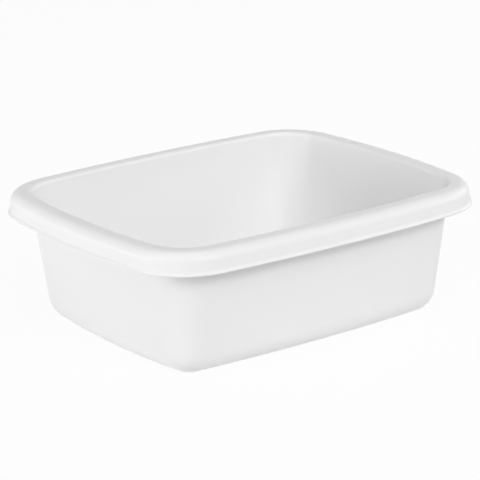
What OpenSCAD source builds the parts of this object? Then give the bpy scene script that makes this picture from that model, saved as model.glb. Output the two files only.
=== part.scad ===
/* [Overall size] */
// Length over the lip, along X
bowl_l = 380; // [340:5:440]
// Width over the lip, along Y
bowl_w = 309; // [280:1:360]
// Height from the foot to the top of the rim
bowl_h = 125; // [110:1:150]

/* [Plan outline] */
// Plan radius of each corner, over the lip
corner_r = 60; // [56:1:72]
// How far the middle of each long side bows out past its ends
bow_long = 4.6; // [3:0.1:6]
// How far the middle of each short side bows out past its ends
bow_short = 5.8; // [4:0.1:8]

/* [Tub] */
// Thickness of the moulding
wall_t = 2; // [1.6:0.1:2.4]
// Lean of the walls from upright, in degrees
wall_draft = 7.6; // [6:0.1:8]
// Outer radius of the rounded foot, in section
foot_r = 25; // [18:1:25]
// Width of the flat band that the bowl stands on
foot_band = 12; // [8:1:16]
// How far the middle of the floor is raised, inside the flat band
raise_h = 0.8; // [0.4:0.1:1.2]
// Plan radius of the raised middle's corners, underneath
raise_r = 14; // [6:1:24]
// Radius of the round dimple that the moulding gate leaves under the floor
gate_r = 6; // [4:0.5:10]

/* [Rim] */
// How far the rim reaches out from its inner edge
rim_w = 22.6; // [20:0.1:26]
// Radius of the roll at the rim's inner edge
roll_r = 4; // [3.5:0.1:6]
// Radius of the rim's outer rounding
shoulder_r = 9.5; // [7:0.1:11]
// Height of the whole rim, from the lip's underside to the top
rim_h = 20.2; // [18:0.1:24]
// Lean of the skirt from upright, in degrees
skirt_lean = 6; // [3:0.5:9]
// How far the lip flares out from the skirt
lip_flare = 1.9; // [1.2:0.1:2.4]

/* [Stacking ribs] */
// Thickness of each rib
rib_t = 1.6; // [1.2:0.1:2]
// Height of each rib under the rim
rib_h = 11; // [6:0.5:12]
// Reach of each rib out from the wall at its top
rib_reach = 6; // [4:0.5:7]
// Distance between the two ribs of a long side
rib_gap_long = 150; // [100:5:180]
// Distance between the two ribs of a short side
rib_gap_short = 100; // [60:5:120]

/* [Hidden] */
plastic = [0.94, 0.945, 0.94];

// Segments in the roundings of the section: a usual one, the wide foot, and the small ones at the lip
arc_steps = 8;
foot_steps = 10;
lip_steps = 4;
tip_steps = 2;

// Segments of a side in a drawn outline, and facets of the preview in the tight and the wide sweeps
side_steps = 24;
corner_fn = 96;
side_fn = 720;

// Centre of the corner arcs, in the quadrant where x and y are positive
corner_x = bowl_l / 2 - corner_r - bow_short;
corner_y = bowl_w / 2 - corner_r - bow_long;

// Distance from each side's own arc centre to the corner's centre, so that the arcs run on tangent
long_reach = (pow(corner_x, 2) + pow(bow_long, 2)) / (2 * bow_long);
short_reach = (pow(corner_y, 2) + pow(bow_short, 2)) / (2 * bow_short);
long_depth = long_reach - bow_long;
short_depth = short_reach - bow_short;
long_half = atan(corner_x / long_depth);
short_half = atan(corner_y / short_depth);

// Wall round the raised middle of the floor, the dimple's depth, and how far its stub is set back
step_t = 1.5;
gate_h = 0.4;
stub_r = 1.5;
stub_set = 0.1;
gate_fn = 48;

// Each side sweep starts wider than it needs and is cut square to the outline where the corner starts
sweep_spare = 2;
side_wedge = 1.6;
corner_wedge_long = 0.2;
corner_wedge_short = 0.4;
cut_h = bowl_h + 40;

// Section through the moulding: x is the plan radius seen from the corner's centre, y is the height
draft_s = sin(wall_draft);
draft_c = cos(wall_draft);
lean_s = sin(skirt_lean);
lean_c = cos(skirt_lean);

// Centres of the roll at the rim's inner edge, of the outer rounding and of the foot's rounding
roll_c = [corner_r - rim_w + roll_r, bowl_h - roll_r];
lip_t = wall_t;
lip_fillet = 2.2;
skirt_drop = rim_h - (shoulder_r + lip_fillet) * (1 - lean_s) - lip_t;
shoulder_c = [
    corner_r - lip_flare - skirt_drop * tan(skirt_lean) - shoulder_r * lean_c,
    bowl_h - shoulder_r
];
wall_rise = bowl_h - roll_r - foot_r;
foot_c = [
    roll_c.x - (foot_r - wall_t + roll_r + wall_rise * draft_s) / draft_c,
    foot_r
];

// A point at a distance and a direction from another, and a run of such points round an arc
function polar(c, r, a) = [c.x + r * cos(a), c.y + r * sin(a)];
function arc(c, r, a0, a1, n = arc_steps) = [for (i = [0:n]) polar(c, r, a0 + (a1 - a0) * i / n)];

// The band between two arcs round one centre
module band(c, r_in, r_out, a0, a1, n = arc_steps) {
    polygon(concat(arc(c, r_out, a0, a1, n), arc(c, r_in, a1, a0, n)));
}

module foot_section() {
    band(foot_c, foot_r - wall_t, foot_r, -90, -wall_draft, foot_steps);
}

module wall_section() {
    polygon([
        polar(foot_c, foot_r - wall_t, -wall_draft),
        polar(foot_c, foot_r, -wall_draft),
        polar(roll_c, roll_r - wall_t, 180 - wall_draft),
        polar(roll_c, roll_r, 180 - wall_draft)
    ]);
}

module crest_section() {
    polygon(concat(
        arc(roll_c, roll_r, 180 - wall_draft, 90),
        [[shoulder_c.x, bowl_h], [shoulder_c.x, bowl_h - wall_t]],
        arc(roll_c, roll_r - wall_t, 90, 180 - wall_draft)
    ));
}

module shoulder_section() {
    band(shoulder_c, shoulder_r - wall_t, shoulder_r, 90, skirt_lean);
}

// The skirt's lower end, at the outer and at the inner face
skirt_end = [
    corner_r - lip_flare,
    bowl_h - rim_h + lip_t + lip_fillet * (1 - lean_s)
];
skirt_inner = [skirt_end.x - wall_t * lean_c, skirt_end.y - wall_t * lean_s];

module skirt_section() {
    polygon([
        polar(shoulder_c, shoulder_r, skirt_lean),
        skirt_end,
        skirt_inner,
        polar(shoulder_c, shoulder_r - wall_t, skirt_lean)
    ]);
}

// The lip's round edge, the hollow above it and its inner rounding. The hollow and the edge are
// joined by the straight line that touches both, which stands square to the direction lip_turn
lip_z = bowl_h - rim_h;
edge_r = lip_t / 2;
edge_c = [corner_r - edge_r, lip_z + edge_r];
hollow_c = polar(skirt_end, lip_fillet, skirt_lean);
lip_turn = 2 * atan((hollow_c.y - edge_c.y) / (hollow_c.x - edge_c.x)) - 90;
inner_r = 1.2;
inner_c = [
    skirt_inner.x + (skirt_inner.y - lip_z - inner_r) * tan(skirt_lean) + inner_r / lean_c,
    lip_z + inner_r
];

module lip_section() {
    polygon(concat(
        [skirt_inner],
        arc(hollow_c, lip_fillet, 180 + skirt_lean, 180 + lip_turn, lip_steps),
        open_arc(edge_c, edge_r, lip_turn, 0, tip_steps),
        arc(edge_c, edge_r, 0, -90, lip_steps),
        arc(inner_c, inner_r, 270, 180 + skirt_lean, lip_steps)
    ));
}

// The wedge of the plan that one arc of the outline fills, from the arc's centre outwards
module wedge(reach) {
    translate([0, 0, -cut_h / 2]) linear_extrude(2 * cut_h) polygon(reach);
}

module corner_run() {
    far = 4 * corner_r;
    toward_long = corner_wedge_long * [corner_x, long_depth];
    toward_short = corner_wedge_short * [short_depth, corner_y];
    translate([corner_x, corner_y, 0]) intersection() {
        rotate_extrude(angle = 90, $fn = corner_fn) children();
        wedge([[0, 0], toward_short, [far, far], toward_long]);
    }
}

module long_run() {
    half = long_half + sweep_spare;
    reach = side_wedge * [corner_x, long_depth];
    translate([0, corner_y - long_depth, 0]) intersection() {
        rotate([0, 0, 90])
            rotate_extrude(angle = 2 * half, start = -half, $fn = side_fn)
                translate([long_reach, 0]) children();
        wedge([[0, 0], reach, [-reach.x, reach.y]]);
    }
}

module short_run() {
    half = short_half + sweep_spare;
    reach = side_wedge * [short_depth, corner_y];
    translate([corner_x - short_depth, 0, 0]) intersection() {
        rotate_extrude(angle = 2 * half, start = -half, $fn = side_fn)
            translate([short_reach, 0]) children();
        wedge([[0, 0], [reach.x, -reach.y], reach]);
    }
}

// A section carried round the whole outline: two long sides, two short sides and four corners
module round_outline() {
    for (flip = [0, 1]) {
        mirror([0, flip, 0]) long_run() children();
        mirror([flip, 0, 0]) short_run() children();
    }
    for (fx = [0, 1], fy = [0, 1]) {
        mirror([fx, 0, 0]) mirror([0, fy, 0]) corner_run() children();
    }
}

// A run of points round an arc without its last, and the whole outline drawn that way: c is the corner's
// centre, bow the bows of the long and the short sides, and r the plan radius of the corners
function open_arc(c, r, a0, a1, n) = [for (i = [0:n - 1]) polar(c, r, a0 + (a1 - a0) * i / n)];
function outline(c, bow, r) =
    let (
        reach_l = (pow(c.x, 2) + pow(bow[0], 2)) / (2 * bow[0]),
        reach_s = (pow(c.y, 2) + pow(bow[1], 2)) / (2 * bow[1]),
        half_l = atan(c.x / (reach_l - bow[0])),
        half_s = atan(c.y / (reach_s - bow[1])),
        mid_l = c.y + bow[0] - reach_l,
        mid_s = c.x + bow[1] - reach_s
    )
    concat(
        open_arc([mid_s, 0], reach_s + r, -half_s, half_s, side_steps),
        open_arc([c.x, c.y], r, half_s, 90 - half_l, arc_steps),
        open_arc([0, mid_l], reach_l + r, 90 - half_l, 90 + half_l, side_steps),
        open_arc([-c.x, c.y], r, 90 + half_l, 180 - half_s, arc_steps),
        open_arc([-mid_s, 0], reach_s + r, 180 - half_s, 180 + half_s, side_steps),
        open_arc([-c.x, -c.y], r, 180 + half_s, 270 - half_l, arc_steps),
        open_arc([0, -mid_l], reach_l + r, 270 - half_l, 270 + half_l, side_steps),
        open_arc([c.x, -c.y], r, 270 + half_l, 360 - half_s, arc_steps)
    );

// The floor: a flat band to stand on, round a middle that is raised a little on both faces. The gate
// dimple is in the middle underneath, with the stub of the cut sprue in it
module floor_panel() {
    inset = foot_band - foot_c.x + raise_r;
    raised_c = [corner_x - inset, corner_y - inset];
    bow = [bow_long, bow_short];
    color(plastic) {
        difference() {
            union() {
                linear_extrude(wall_t) polygon(outline([corner_x, corner_y], bow, foot_c.x));
                linear_extrude(wall_t + raise_h) polygon(outline(raised_c, bow, raise_r + step_t));
            }
            translate([0, 0, -1]) linear_extrude(1 + raise_h) polygon(outline(raised_c, bow, raise_r));
            translate([0, 0, raise_h - 1]) cylinder(h = 1 + gate_h, r = gate_r, $fn = gate_fn);
        }
        translate([0, 0, raise_h + stub_set]) cylinder(h = wall_t / 2, r = stub_r, $fn = gate_fn);
    }
}

module base_curve() {
    color(plastic) round_outline() foot_section();
}

module tub_wall() {
    color(plastic) round_outline() wall_section();
}

module rim_crest() {
    color(plastic) round_outline() crest_section();
}

module rim_shoulder() {
    color(plastic) round_outline() shoulder_section();
}

module rim_skirt() {
    color(plastic) round_outline() skirt_section();
}

module rim_lip() {
    color(plastic) round_outline() lip_section();
}

// One upright rib against the outside of the wall, under the crest. Its blunt lower end is rib_toe deep
rib_toe = 1.5;
module rib_section() {
    top = bowl_h - wall_t;
    wall_top = polar(roll_c, roll_r - wall_t, 180 - wall_draft);
    wall_low = [wall_top.x - (wall_top.y - top + rib_h) * tan(wall_draft), top - rib_h];
    polygon(concat(
        [wall_low, [wall_low.x + rib_toe, wall_low.y]],
        [[wall_top.x + rib_reach, top]],
        arc(roll_c, roll_r - wall_t, 90, 180 - wall_draft, arc_steps)
    ));
}

module stacking_ribs() {
    color(plastic) {
        for (flip = [0, 1], side = [-1, 1]) {
            mirror([0, flip, 0]) intersection() {
                long_run() rib_section();
                translate([side * rib_gap_long / 2 - rib_t / 2, 0, 0]) cube([rib_t, bowl_w, bowl_h]);
            }
            mirror([flip, 0, 0]) intersection() {
                short_run() rib_section();
                translate([0, side * rib_gap_short / 2 - rib_t / 2, 0]) cube([bowl_l, rib_t, bowl_h]);
            }
        }
    }
}

floor_panel();
base_curve();
tub_wall();
rim_crest();
rim_shoulder();
rim_skirt();
rim_lip();
stacking_ribs();
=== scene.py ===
"""A white washing up bowl, moulded in one piece, on a plain pale floor in soft light.

The bowl's outline is eight arcs that run on tangent, and its section is one closed run of
straight stretches and arcs. The section is carried round the outline to make the shell.
"""
import math

import bpy
import numpy as np
from mathutils import Matrix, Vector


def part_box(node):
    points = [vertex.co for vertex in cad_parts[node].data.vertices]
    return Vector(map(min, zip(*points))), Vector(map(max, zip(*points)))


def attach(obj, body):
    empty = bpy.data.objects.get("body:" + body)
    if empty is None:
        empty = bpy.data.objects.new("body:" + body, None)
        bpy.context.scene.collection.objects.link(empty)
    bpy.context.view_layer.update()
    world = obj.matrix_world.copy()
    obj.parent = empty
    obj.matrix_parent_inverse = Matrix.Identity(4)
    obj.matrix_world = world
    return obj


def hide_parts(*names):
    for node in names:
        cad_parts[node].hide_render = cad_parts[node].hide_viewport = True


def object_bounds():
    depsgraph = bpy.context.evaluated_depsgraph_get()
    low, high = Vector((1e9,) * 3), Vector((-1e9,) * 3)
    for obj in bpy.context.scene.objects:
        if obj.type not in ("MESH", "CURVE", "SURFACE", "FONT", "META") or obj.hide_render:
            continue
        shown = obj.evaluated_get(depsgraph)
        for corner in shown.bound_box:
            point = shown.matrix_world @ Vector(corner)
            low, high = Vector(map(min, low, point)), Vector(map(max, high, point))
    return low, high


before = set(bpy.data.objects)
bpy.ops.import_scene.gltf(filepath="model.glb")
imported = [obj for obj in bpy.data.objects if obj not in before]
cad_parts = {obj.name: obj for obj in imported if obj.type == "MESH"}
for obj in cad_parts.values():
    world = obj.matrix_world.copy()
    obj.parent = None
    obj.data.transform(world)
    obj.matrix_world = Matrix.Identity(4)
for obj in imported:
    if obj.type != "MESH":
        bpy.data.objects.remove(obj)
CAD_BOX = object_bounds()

bl_info = {
    "name": "Washing up bowl",
    "version": (1, 0, 0),
    "blender": (4, 5, 0),
    "location": "View3D > Sidebar > Bowl",
    "description": "A moulded washing up bowl round its packed frame",
    "category": "Object",
}

MM = 0.001

# The picture's side in pixels, the camera's sensor in millimetres, and how far it sees in metres
IMAGE_SIZE = 480
SENSOR_WIDTH = 36.0
CLIP_END = 50.0

# The point that the camera looks at, found from the picture, and the point that the lamps face
AIM = np.array([0.0087, 0.0131, 0.0670])
BOWL_MIDDLE = np.array([0.0, 0.0, 0.06])

# Half the floor's side in metres, and how much of what is seen of it is plain white
FLOOR_REACH = 6.0
FLOOR_GLOW = 0.95

# Panels of the light tent: azimuth and elevation in degrees, sharpness of the edge, brightness
TENT_PANELS = (
    (0, 33, 30, 4.3),
    (-45, 33, 30, 2.7),
    (-20, 20, 30, 0.4),
    (-100, 0, 30, 1.7),
)

# Name, azimuth and elevation in degrees, distance, width and height in metres, power in watts
SOFTBOXES = (
    ("overhead", 0, 89.9, 2.34, 1.8, 1.8, 12.6),
    ("front_high", 0, 65, 2.4, 2.4, 0.7, 1.6),
    ("small_front", 12, 30, 2.4, 0.4, 0.4, 6.4),
    ("left", -75, 20, 2.4, 2.4, 0.7, 6.2),
    ("right", 75, 20, 2.4, 2.4, 0.7, 11.8),
    ("left_low", -105, 5.7, 2.4, 1.8, 0.55, 11.6),
    ("left_card", -124, 3.8, 0.75, 0.8, 0.2, 0.6),
)

# The longest stretch of the section between two rings, and the bevel round the gate's dimple
LONGEST_STRETCH = 8 * MM
DIMPLE_BEVEL = 0.1 * MM

# The rim's lowest edge and the bowl's overall sizes come from the frame
LIP_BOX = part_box("rim_lip")
CAD_LENGTH = CAD_BOX[1][0] - CAD_BOX[0][0]
CAD_WIDTH = CAD_BOX[1][1] - CAD_BOX[0][1]
CAD_HEIGHT = CAD_BOX[1][2] - CAD_BOX[0][2]
RIM_HEIGHT = CAD_BOX[1][2] - LIP_BOX[0][2]


def length_property(name, description, default):
    """A size in metres, shown in Blender's own length units."""
    return bpy.props.FloatProperty(
        name=name, description=description, default=default, min=0.0, unit="LENGTH", precision=4
    )


def angle_property(name, description, degrees):
    """An angle, given here in degrees."""
    return bpy.props.FloatProperty(
        name=name, description=description, default=math.radians(degrees), subtype="ANGLE"
    )


def hex_to_linear(code):
    """The scene-linear colour of an sRGB hex code: each channel goes through the sRGB curve."""
    values = [int(code[i : i + 2], 16) / 255 for i in (1, 3, 5)]
    return tuple(v / 12.92 if v <= 0.04045 else ((v + 0.055) / 1.055) ** 2.4 for v in values)


class BowlSizes(bpy.types.PropertyGroup):
    """Sizes of the bowl's outline and section."""

    length: length_property("Length", "Length over the lip", CAD_LENGTH)
    width: length_property("Width", "Width over the lip", CAD_WIDTH)
    height: length_property("Height", "Height from the foot to the top of the rim", CAD_HEIGHT)
    corner_radius: length_property("Corner", "Plan radius of a corner, over the lip", 60 * MM)
    bow_long: length_property("Long bow", "How far a long side bows out", 4.6 * MM)
    bow_short: length_property("Short bow", "How far a short side bows out", 5.8 * MM)
    wall: length_property("Wall", "Thickness of the moulding", 2 * MM)
    draft: angle_property("Draft", "Lean of the walls from upright", 7.6)
    foot_radius: length_property("Foot radius", "Outer radius of the rounded foot", 25 * MM)
    foot_band: length_property("Foot band", "Width of the flat band it stands on", 12 * MM)
    raise_height: length_property("Raise", "Rise of the floor's middle", 0.8 * MM)
    raise_radius: length_property("Raise corner", "Plan radius of the raise's corners", 14 * MM)
    raise_wall: length_property("Raise wall", "Wall round the raised middle", 1.5 * MM)
    gate_radius: length_property("Gate dimple", "Radius of the moulding gate's dimple", 6 * MM)
    gate_depth: length_property("Gate depth", "Depth of the moulding gate's dimple", 0.4 * MM)
    stub_radius: length_property("Stub", "Radius of the cut sprue in the dimple", 1.5 * MM)
    rim_width: length_property("Rim width", "Reach of the rim from its inner edge", 22.6 * MM)
    roll_radius: length_property("Roll", "Radius of the roll at the rim's inner edge", 4 * MM)
    shoulder_radius: length_property("Shoulder", "Radius of the rim's outer rounding", 9.5 * MM)
    rim_height: length_property("Rim height", "Height of the rim", RIM_HEIGHT)
    skirt_lean: angle_property("Skirt lean", "Lean of the skirt from upright", 6)
    lip_flare: length_property("Lip flare", "How far the lip flares from the skirt", 1.9 * MM)
    lip_fillet: length_property("Lip fillet", "Radius of the hollow above the lip", 2.2 * MM)
    lip_inner: length_property("Lip inside", "Radius of the lip's inner rounding", 1.2 * MM)


class BowlFinish(bpy.types.PropertyGroup):
    """Colour and gloss of the moulding."""

    colour: bpy.props.FloatVectorProperty(
        name="Colour",
        description="Colour of the polypropylene",
        subtype="COLOR",
        default=hex_to_linear("#F9F9F9"),
    )
    roughness: bpy.props.FloatProperty(
        name="Roughness", description="Roughness of the moulded face", default=0.33, min=0, max=1
    )


class BowlStudio(bpy.types.PropertyGroup):
    """The camera and the light."""

    distance: length_property("Distance", "From the aim point to the camera", 2.17)
    azimuth: angle_property("Azimuth", "Camera's place, from the front to the right", -36.321)
    elevation: angle_property("Elevation", "How far the camera looks down", 17.518)
    roll: angle_property("Roll", "Turn of the picture", -1.195)
    focal_pixels: bpy.props.FloatProperty(
        name="Focal length", description="Focal length in pixels of the picture", default=2328.7
    )
    brightness: bpy.props.FloatProperty(
        name="Brightness", description="Scales every softbox and the light tent", default=1.0
    )


def polar(centre, radius, degrees):
    """Points at a radius and at directions from a centre: centre + radius * (cos, sin)."""
    a = np.radians(np.atleast_1d(degrees))
    return np.column_stack([centre[0] + radius * np.cos(a), centre[1] + radius * np.sin(a)])


def arc(centre, radius, start, end, steps, side=1):
    """Points evenly round an arc, both ends included, each with the way that its face looks.

    It looks away from the arc's centre, or toward it where the side is minus one.
    """
    degrees = np.linspace(start, end, steps + 1)
    return np.column_stack([polar(centre, radius, degrees), side * polar((0, 0), 1, degrees)])


class Plan:
    """The outline's stations: each has the centre, the reach and the direction of its own arc.

    A point of plan radius r at a station is centre + (reach + r) * (cos a, sin a). The reach is
    zero in the corners, and (c * c + bow * bow) / (2 * bow) on a side that bows out over a half
    length of c, which is what makes the arcs run on tangent.
    """

    def __init__(self, corner, bows, side_steps=40, corner_steps=24):
        cx, cy = corner
        long_reach = (cx**2 + bows[0] ** 2) / (2 * bows[0])
        short_reach = (cy**2 + bows[1] ** 2) / (2 * bows[1])
        long_half = math.degrees(math.atan2(cx, long_reach - bows[0]))
        short_half = math.degrees(math.atan2(cy, short_reach - bows[1]))
        long_mid = cy + bows[0] - long_reach
        short_mid = cx + bows[1] - short_reach
        # Centre, reach, first and last direction in degrees, and steps of each arc
        arcs = [
            (short_mid, 0, short_reach, -short_half, short_half, side_steps),
            (cx, cy, 0, short_half, 90 - long_half, corner_steps),
            (0, long_mid, long_reach, 90 - long_half, 90 + long_half, side_steps),
            (-cx, cy, 0, 90 + long_half, 180 - short_half, corner_steps),
            (-short_mid, 0, short_reach, 180 - short_half, 180 + short_half, side_steps),
            (-cx, -cy, 0, 180 + short_half, 270 - long_half, corner_steps),
            (0, -long_mid, long_reach, 270 - long_half, 270 + long_half, side_steps),
            (cx, -cy, 0, 270 + long_half, 360 - short_half, corner_steps),
        ]
        table = np.concatenate([self.stations(*values) for values in arcs])
        self.centre, self.reach = table[:, :2], table[:, 2:3]
        self.out = polar((0, 0), 1, table[:, 3])

    @staticmethod
    def stations(x, y, reach, start, end, steps):
        """The stations of one arc. Its far end is the next arc's first station."""
        same = np.tile((x, y, reach), (steps, 1))
        return np.column_stack([same, np.linspace(start, end, steps + 1)[:-1]])

    def rings(self, run):
        """A run of (plan radius, height, facing out, facing up) carried round, with normals."""
        radius, height, facing, up = (column[:, None, None] for column in run.T)
        flat = self.centre + (self.reach + radius) * self.out
        rise = np.broadcast_to(height, flat.shape[:2] + (1,))
        tilt = np.broadcast_to(up, flat.shape[:2] + (1,))
        return np.concatenate([flat, rise, facing * self.out, tilt], axis=2)


def section(s):
    """The moulding's two faces as runs of (plan radius, height, facing), from the foot to the lip.

    Both faces share the centres of their arcs, one wall thickness apart: the foot's rounding, the
    drafted wall, the roll, the flat crest, the shoulder and the leaning skirt. The hollow above
    the lip and the lip's round edge are joined by the straight line that touches both.
    """
    draft, lean = math.degrees(s.draft), math.degrees(s.skirt_lean)
    draft_s, draft_c = math.sin(s.draft), math.cos(s.draft)
    lean_s, lean_c, lean_t = (f(s.skirt_lean) for f in (math.sin, math.cos, math.tan))
    low = s.height - s.rim_height
    roll = (s.corner_radius - s.rim_width + s.roll_radius, s.height - s.roll_radius)
    skirt_end = (s.corner_radius - s.lip_flare, low + s.wall + s.lip_fillet * (1 - lean_s))
    drop = s.rim_height - (s.shoulder_radius + s.lip_fillet) * (1 - lean_s) - s.wall
    shoulder = (
        skirt_end[0] - drop * lean_t - s.shoulder_radius * lean_c,
        s.height - s.shoulder_radius,
    )
    rise = s.height - s.roll_radius - s.foot_radius
    foot = (
        roll[0] - (s.foot_radius - s.wall + s.roll_radius + rise * draft_s) / draft_c,
        s.foot_radius,
    )
    hollow = polar(skirt_end, s.lip_fillet, lean)[0]
    edge_radius = s.wall / 2
    edge = (s.corner_radius - edge_radius, low + edge_radius)
    turn = 2 * math.degrees(math.atan2(hollow[1] - edge[1], hollow[0] - edge[0])) - 90
    face_end = (skirt_end[0] - s.wall * lean_c, skirt_end[1] - s.wall * lean_s)
    inner = (
        face_end[0] + (face_end[1] - low - s.lip_inner) * lean_t + s.lip_inner / lean_c,
        low + s.lip_inner,
    )
    upper = [
        arc(foot, s.foot_radius - s.wall, -90, -draft, steps=20, side=-1),
        arc(roll, s.roll_radius, 180 - draft, 90, steps=12),
        arc(shoulder, s.shoulder_radius, 90, lean, steps=20),
        arc(hollow, s.lip_fillet, 180 + lean, 180 + turn, steps=6, side=-1),
        arc(edge, edge_radius, turn, 0, steps=4)[:-1],
        arc(edge, edge_radius, 0, -90, steps=8),
    ]
    under = [
        arc(foot, s.foot_radius, -90, -draft, steps=20),
        arc(roll, s.roll_radius - s.wall, 180 - draft, 90, steps=8, side=-1),
        arc(shoulder, s.shoulder_radius - s.wall, 90, lean, steps=16, side=-1),
        arc(inner, s.lip_inner, 180 + lean, 270, steps=8),
    ]
    return foot[0], np.concatenate(upper), np.concatenate(under)


def densify(run, longest):
    """The same run with its long straight stretches cut into steps no longer than a length."""
    pieces = [run[:1]]
    for a, b in zip(run[:-1], run[1:]):
        steps = max(1, math.ceil(np.hypot(*(b - a)[:2]) / longest))
        pieces.append(a + (b - a) * (np.arange(1, steps + 1) / steps)[:, None])
    return np.concatenate(pieces)


def soft_step(radius, low, high, inward, steps=4):
    """A small step between two heights: two equal quarter rounds that meet at a plan radius.

    It runs outwards and down on the upper face, or inwards and up on the face underneath.
    """
    r = (high - low) / 2
    inner, outer = (radius - r, high - r), (radius + r, low + r)
    if inward:
        rounds = [arc(outer, r, 270, 180, steps), arc(inner, r, 0, 90, steps, side=-1)[1:]]
    else:
        rounds = [arc(inner, r, 90, 0, steps), arc(outer, r, 180, 270, steps, side=-1)[1:]]
    return np.concatenate(rounds)


def flat_between(first, last, count):
    """Rings evenly between two flat rings, neither included: first + (last - first) * t."""
    steps = np.linspace(0, 1, count + 2)[1:-1, None, None]
    return first + (last - first) * steps


def level_circle(directions, radius, height, out, up):
    """A level circle round the middle through the given directions, with its normals."""
    ones = np.ones(len(directions))
    return np.column_stack([radius * directions, height * ones, out * directions, up * ones])


def dimple_circles(s, directions):
    """The gate's dimple from its edge in to the end of the cut sprue, with bevelled edges."""
    mouth, roof, bevel = s.raise_height, s.raise_height + s.gate_depth, DIMPLE_BEVEL
    stub_low = mouth + bevel
    # Radius, height, and how much the face looks out and up
    rows = [
        (s.gate_radius + bevel, mouth, 0, -1),
        (s.gate_radius, mouth + bevel, -1, 0),
        (s.gate_radius, roof - bevel, -1, 0),
        (s.gate_radius - bevel, roof, 0, -1),
        (s.stub_radius + bevel, roof, 0, -1),
        (s.stub_radius, roof - bevel, 1, 0),
        (s.stub_radius, stub_low + bevel, 1, 0),
        (s.stub_radius - bevel, stub_low, 0, -1),
    ]
    return np.stack([level_circle(directions, *row) for row in rows])


def shell_rings(s):
    """The closed shell as rings, from the floor's middle over the rim to the middle underneath.

    The floor's raised middle is an outline of its own inside the flat band, and the dimple under
    it is made of circles at the same stations.
    """
    corner = np.array(
        [s.length / 2 - s.corner_radius - s.bow_short, s.width / 2 - s.corner_radius - s.bow_long]
    )
    bows = (s.bow_long, s.bow_short)
    foot_radius, upper, under = section(s)
    plan = Plan(corner, bows)
    raised = Plan(corner - (s.foot_band - foot_radius + s.raise_radius), bows)
    top = s.wall + s.raise_height
    step_up = raised.rings(soft_step(s.raise_radius + s.raise_wall, s.wall, top, inward=False))
    step_under = raised.rings(soft_step(s.raise_radius, 0, s.raise_height, inward=True))
    turn = np.arctan2(step_under[-1][:, 1], step_under[-1][:, 0])
    circles = dimple_circles(s, np.column_stack([np.cos(turn), np.sin(turn)]))
    first = np.array([0, 0, top, 0, 0, 1])
    last = np.array([0, 0, circles[-1][0, 2], 0, 0, -1])
    rings = np.concatenate(
        [
            flat_between(first, step_up[0], count=10),
            step_up,
            plan.rings(densify(upper, LONGEST_STRETCH)),
            plan.rings(densify(under, LONGEST_STRETCH)[::-1]),
            step_under,
            flat_between(step_under[-1], circles[0], count=9),
            circles,
        ]
    )
    return first, rings, last


def skin_rings(first, rings, last):
    """Vertices, normals and faces of a surface through closed rings, with a fan at each end."""
    count, around = rings.shape[:2]
    table = np.concatenate([[first], rings.reshape(-1, 6), [last]])
    row = np.arange(count - 1)[:, None] * around + 1
    here = np.arange(around)[None, :]
    there = (here + 1) % around
    quads = np.stack([row + here, row + around + here, row + around + there, row + there], axis=-1)
    start_fan = np.column_stack([np.zeros(around, int), 1 + here[0], 1 + there[0]])
    tail = 1 + (count - 1) * around
    end_fan = np.column_stack([np.full(around, len(table) - 1), tail + there[0], tail + here[0]])
    return table[:, :3], table[:, 3:], quads.reshape(-1, 4), start_fan, end_fan


def build_object(name, vertices, normals, face_groups, material):
    """A mesh object at the origin, smooth by its own normals, from vertices and groups of faces."""
    mesh = bpy.data.meshes.new(name)
    faces = [face for group in face_groups for face in group.tolist()]
    mesh.from_pydata(vertices.tolist(), [], faces)
    mesh.shade_smooth()
    mesh.materials.append(material)
    mesh.update()
    unit = normals / np.linalg.norm(normals, axis=1)[:, None]
    mesh.normals_split_custom_set_from_vertices(unit.tolist())
    piece = bpy.data.objects.new(name, mesh)
    bpy.context.scene.collection.objects.link(piece)
    return piece


def add_node(tree, kind, inputs=(), **settings):
    """Adds one node with its settings. Each input gets a value or another node's output."""
    node = tree.nodes.new(kind)
    for name, value in settings.items():
        setattr(node, name, value)
    for name, value in dict(inputs).items():
        if isinstance(value, bpy.types.NodeSocket):
            tree.links.new(value, node.inputs[name])
        else:
            node.inputs[name].default_value = value
    return node


def new_material(name):
    """An empty node material and its output node."""
    material = bpy.data.materials.new(name)
    material.use_nodes = True
    material.node_tree.nodes.clear()
    return material, add_node(material.node_tree, "ShaderNodeOutputMaterial")


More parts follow.
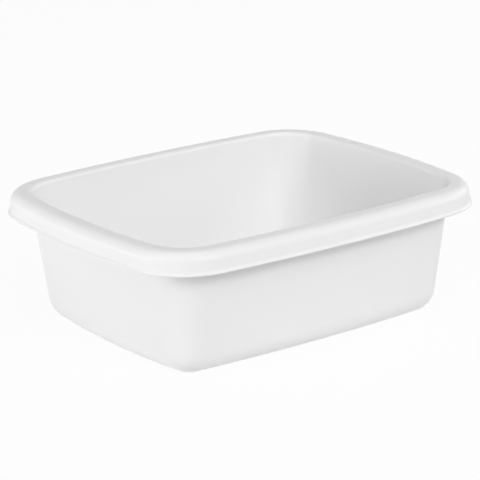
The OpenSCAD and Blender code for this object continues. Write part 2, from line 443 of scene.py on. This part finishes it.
def moulded_polypropylene(finish):
    """White polypropylene, injection moulded in a polished tool.

    To the eye: a clean milky white with a soft satin gloss, a trace of light let through, and the
    faint unevenness that a cooling moulding keeps.
    """
    material, output = new_material("moulded_polypropylene_white")
    tree = material.node_tree
    place = add_node(tree, "ShaderNodeTexCoord").outputs["Object"]
    # The waves of cooling, and the tool's fine polish, drawn coarse enough to show
    wave_length, polish_grain = 25 * MM, 0.8 * MM
    waves = add_node(
        tree, "ShaderNodeTexNoise", {"Vector": place, "Scale": 1 / wave_length, "Detail": 2.0}
    )
    polish = add_node(
        tree, "ShaderNodeTexNoise", {"Vector": place, "Scale": 1 / polish_grain, "Detail": 3.0}
    )
    gloss_spread, waves_to_polish = 0.03, 4.0
    gloss = add_node(
        tree,
        "ShaderNodeMapRange",
        {
            "Value": waves.outputs["Fac"],
            "To Min": finish.roughness - gloss_spread,
            "To Max": finish.roughness + gloss_spread,
        },
    )
    heights = add_node(
        tree,
        "ShaderNodeMath",
        {0: waves.outputs["Fac"], 1: waves_to_polish, 2: polish.outputs["Fac"]},
        operation="MULTIPLY_ADD",
    )
    bump = add_node(
        tree,
        "ShaderNodeBump",
        {"Height": heights.outputs[0], "Strength": 0.05, "Distance": 0.05 * MM},
    )
    shader = add_node(
        tree,
        "ShaderNodeBsdfPrincipled",
        {
            "Base Color": (*finish.colour, 1.0),
            "Roughness": gloss.outputs["Result"],
            "IOR": 1.49,
            "Subsurface Weight": 0.25,
            "Subsurface Radius": (1.0, 1.0, 1.0),
            "Subsurface Scale": 1.5 * MM,
            "Normal": bump.outputs["Normal"],
        },
    )
    tree.links.new(shader.outputs["BSDF"], output.inputs["Surface"])
    return material


def background_rays(tree):
    """One for rays that see the background, straight or in gloss or glass, and otherwise zero."""
    rays = add_node(tree, "ShaderNodeLightPath").outputs
    indirect = add_node(
        tree,
        "ShaderNodeMath",
        {0: rays["Is Glossy Ray"], 1: rays["Is Transmission Ray"]},
        operation="MAXIMUM",
    )
    seen = add_node(
        tree,
        "ShaderNodeMath",
        {0: rays["Is Camera Ray"], 1: indirect.outputs[0]},
        operation="MAXIMUM",
    )
    return seen.outputs[0]


def matt_white_paint():
    """The floor's paint: pale and matt, and seen as nearly plain white.

    A small part of what is seen is the lit paint, which keeps the bowl's shadow.
    """
    material, output = new_material("matt_white_floor")
    tree = material.node_tree
    paint = add_node(tree, "ShaderNodeBsdfDiffuse", {"Color": (*hex_to_linear("#F4F4F4"), 1.0)})
    glow = add_node(tree, "ShaderNodeEmission", {"Color": (1, 1, 1, 1), "Strength": 1.0})
    seen = add_node(
        tree, "ShaderNodeMath", {0: background_rays(tree), 1: FLOOR_GLOW}, operation="MULTIPLY"
    )
    mixed = add_node(
        tree,
        "ShaderNodeMixShader",
        {0: seen.outputs[0], 1: paint.outputs["BSDF"], 2: glow.outputs["Emission"]},
    )
    tree.links.new(mixed.outputs[0], output.inputs["Surface"])
    return material


def toward(azimuth, elevation):
    """The direction at an azimuth, from the front to the right, and an elevation."""
    flat = math.cos(elevation)
    return np.array([math.sin(azimuth) * flat, -math.cos(azimuth) * flat, math.sin(elevation)])


def look_at(place, forward, roll=0.0):
    """The matrix of a camera or lamp at a place, looking along forward, turned by a roll."""
    forward = forward / np.linalg.norm(forward)
    right = np.cross(forward, (0, 0, 1))
    right = right / np.linalg.norm(right)
    up = np.cross(right, forward)
    c, s = math.cos(roll), math.sin(roll)
    matrix = np.eye(4)
    matrix[:3, :3] = np.column_stack([c * right + s * up, c * up - s * right, -forward])
    matrix[:3, 3] = place
    return Matrix(matrix.tolist())


def light_tent(world, brightness):
    """Soft panels of light round the bowl: the sum of brightness * max(0, d . p) ** sharpness.

    Here d is the ray's direction and p the panel's. The camera and the gloss see white paper.
    """
    world.use_nodes = True
    tree = world.node_tree
    tree.nodes.clear()
    ray = add_node(tree, "ShaderNodeTexCoord").outputs["Generated"]
    total = 0.0
    for azimuth, elevation, sharpness, strength in TENT_PANELS:
        panel = tuple(toward(math.radians(azimuth), math.radians(elevation)))
        facing = add_node(
            tree, "ShaderNodeVectorMath", {0: ray, 1: panel}, operation="DOT_PRODUCT"
        ).outputs["Value"]
        front = add_node(tree, "ShaderNodeMath", {0: facing, 1: 0.0}, operation="MAXIMUM")
        edge = add_node(
            tree, "ShaderNodeMath", {0: front.outputs[0], 1: sharpness}, operation="POWER"
        )
        lit = {0: edge.outputs[0], 1: strength * brightness, 2: total}
        total = add_node(tree, "ShaderNodeMath", lit, operation="MULTIPLY_ADD").outputs[0]
    tent = add_node(tree, "ShaderNodeBackground", {"Color": (1, 1, 1, 1), "Strength": total})
    paper = add_node(tree, "ShaderNodeBackground", {"Color": (1, 1, 1, 1), "Strength": 1.0})
    mixed = add_node(
        tree,
        "ShaderNodeMixShader",
        {0: background_rays(tree), 1: tent.outputs[0], 2: paper.outputs[0]},
    )
    add_node(tree, "ShaderNodeOutputWorld", {"Surface": mixed.outputs[0]})


def softbox(name, azimuth, elevation, distance, width, height, power):
    """A rectangular soft light that faces the bowl and that the camera itself doesn't see."""
    data = bpy.data.lights.new(name, "AREA")
    data.shape, data.size, data.size_y, data.energy = "RECTANGLE", width, height, power
    lamp = bpy.data.objects.new(name, data)
    lamp.visible_camera = False
    out = toward(math.radians(azimuth), math.radians(elevation))
    lamp.matrix_world = look_at(BOWL_MIDDLE + out * distance, -out)
    bpy.context.scene.collection.objects.link(lamp)


class BOWL_OT_stage(bpy.types.Operator):
    """Makes the camera, the floor, the lights and the background"""

    bl_idname = "bowl.stage"
    bl_label = "Camera, floor and light"

    def execute(self, context):
        scene, studio = context.scene, context.scene.bowl_studio
        scene.view_settings.view_transform = "Standard"
        back = toward(studio.azimuth, studio.elevation)
        data = bpy.data.cameras.new("camera")
        data.sensor_width = SENSOR_WIDTH
        data.sensor_fit = "HORIZONTAL"
        data.lens = studio.focal_pixels / IMAGE_SIZE * SENSOR_WIDTH
        data.clip_end = CLIP_END
        camera = bpy.data.objects.new("camera", data)
        camera.matrix_world = look_at(AIM + back * studio.distance, -back, studio.roll)
        scene.collection.objects.link(camera)
        scene.camera = camera

        floor_mesh = bpy.data.meshes.new("floor")
        r = FLOOR_REACH
        corners = [(-r, -r, 0), (r, -r, 0), (r, r, 0), (-r, r, 0)]
        floor_mesh.from_pydata(corners, [], [(0, 1, 2, 3)])
        floor_mesh.materials.append(matt_white_paint())
        floor = bpy.data.objects.new("floor", floor_mesh)
        scene.collection.objects.link(floor)

        world = bpy.data.worlds.new("light_tent")
        scene.world = world
        light_tent(world, studio.brightness)
        for *box, power in SOFTBOXES:
            softbox(*box, power * studio.brightness)
        return {"FINISHED"}


class BOWL_OT_shell(bpy.types.Operator):
    """Makes the moulded shell and gives the ribs the same finish"""

    bl_idname = "bowl.shell"
    bl_label = "Moulded shell"

    def execute(self, context):
        sizes, finish = context.scene.bowl_sizes, context.scene.bowl_finish
        material = moulded_polypropylene(finish)
        vertices, normals, *faces = skin_rings(*shell_rings(sizes))
        shell = build_object("bowl_shell", vertices, normals, faces, material)
        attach(shell, "root")
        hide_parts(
            "floor_panel",
            "base_curve",
            "tub_wall",
            "rim_crest",
            "rim_shoulder",
            "rim_skirt",
            "rim_lip",
        )
        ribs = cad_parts["stacking_ribs"]
        ribs.data.materials.clear()
        ribs.data.materials.append(material)
        return {"FINISHED"}


class BOWL_PT_panel(bpy.types.Panel):
    """Lists the steps that make the bowl and its stage, and their values"""

    bl_label = "Washing up bowl"
    bl_space_type = "VIEW_3D"
    bl_region_type = "UI"
    bl_category = "Bowl"

    def draw(self, context):
        for step in STEPS:
            self.layout.operator(step.bl_idname)
        for group in ("bowl_sizes", "bowl_finish", "bowl_studio"):
            values = getattr(context.scene, group)
            for name in values.bl_rna.properties.keys():
                if name not in ("name", "rna_type"):
                    self.layout.prop(values, name)


STEPS = (BOWL_OT_stage, BOWL_OT_shell)
CLASSES = (BowlSizes, BowlFinish, BowlStudio, *STEPS, BOWL_PT_panel)


def register():
    """Makes the classes and the scene's values known to Blender."""
    for cls in CLASSES:
        bpy.utils.register_class(cls)
    bpy.types.Scene.bowl_sizes = bpy.props.PointerProperty(type=BowlSizes)
    bpy.types.Scene.bowl_finish = bpy.props.PointerProperty(type=BowlFinish)
    bpy.types.Scene.bowl_studio = bpy.props.PointerProperty(type=BowlStudio)


def unregister():
    """Takes them away again."""
    del bpy.types.Scene.bowl_studio
    del bpy.types.Scene.bowl_finish
    del bpy.types.Scene.bowl_sizes
    for cls in reversed(CLASSES):
        bpy.utils.unregister_class(cls)


def main():
    register()
    bpy.ops.bowl.stage()
    bpy.ops.bowl.shell()


if __name__ == "__main__":
    main()
